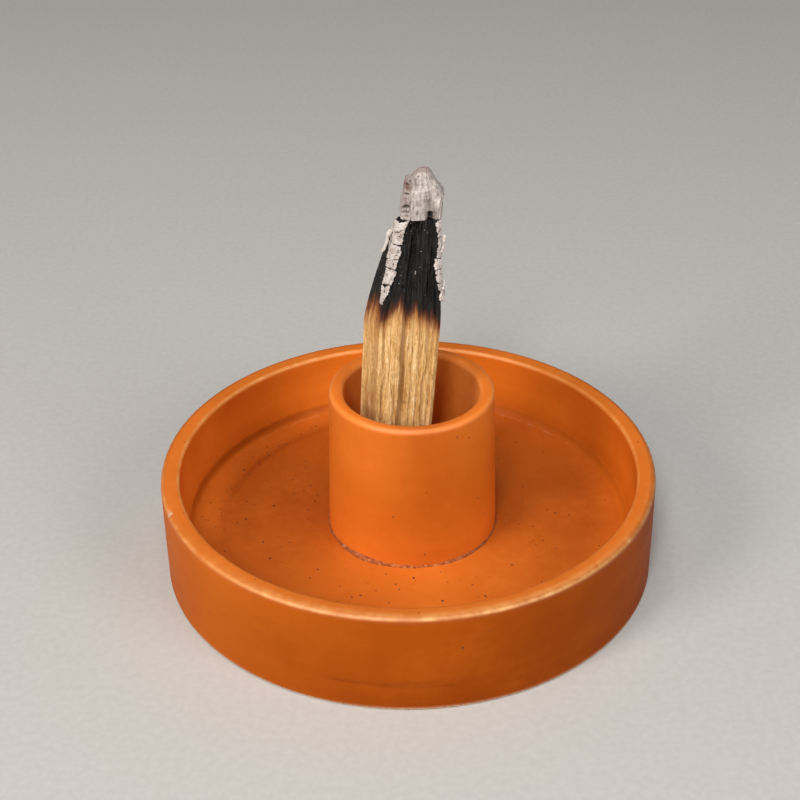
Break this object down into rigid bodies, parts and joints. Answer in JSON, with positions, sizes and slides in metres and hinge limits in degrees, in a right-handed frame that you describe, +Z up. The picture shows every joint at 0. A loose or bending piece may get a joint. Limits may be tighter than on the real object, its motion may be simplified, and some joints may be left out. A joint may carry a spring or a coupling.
{
  "type": "palo santo holder",
  "caption": "Round glazed ceramic tray with an upright central cup, holding a half-burnt stick of split wood that lifts out; the tray catches the falling ash.",
  "frame": {"origin": "centre of the foot ring, on the plane of the table", "axes": "+Z up, the front of the tray towards -Y, +X to the right of the front"},
  "size_m": [0.1, 0.1, 0.0863],
  "materials": {
    "glaze_floor": "satin burnt-orange glaze with fine dark iron specks",
    "glaze_wall": "satin burnt-orange glaze, breaking lighter on the rim",
    "glaze_cup": "satin burnt-orange glaze, breaking lighter on the rim",
    "slip_wall": "thinly glazed slip, pale at its edge",
    "slip_cup": "rough dry slip with fine cracks",
    "split_wood": "raw split wood, open grain",
    "charcoal": "charcoal with fine lengthwise cracks",
    "ash": "white wood ash, dry and fibrous",
    "ash_crust": "white ash crust, cracked and peeling"
  },
  "bodies": {
    "holder": {"floor_slab": "glaze_floor", "wall_ring": "glaze_wall", "wall_seam": "slip_wall", "cup_tube": "glaze_cup", "cup_seam": "slip_cup"},
    "stick": {"palo_santo_stick": "split_wood", "char_zone": "charcoal", "ash_tip": "ash", "ash_strip_left": "ash_crust", "ash_strip_right": "ash_crust", "ash_curls": "ash_crust"}
  },
  "joints": [
    {"name": "stick_lift", "type": "slide", "parent": "holder", "child": "stick", "axis": [0, 0, 1], "range_m": [0, 0.045]}
  ]
}
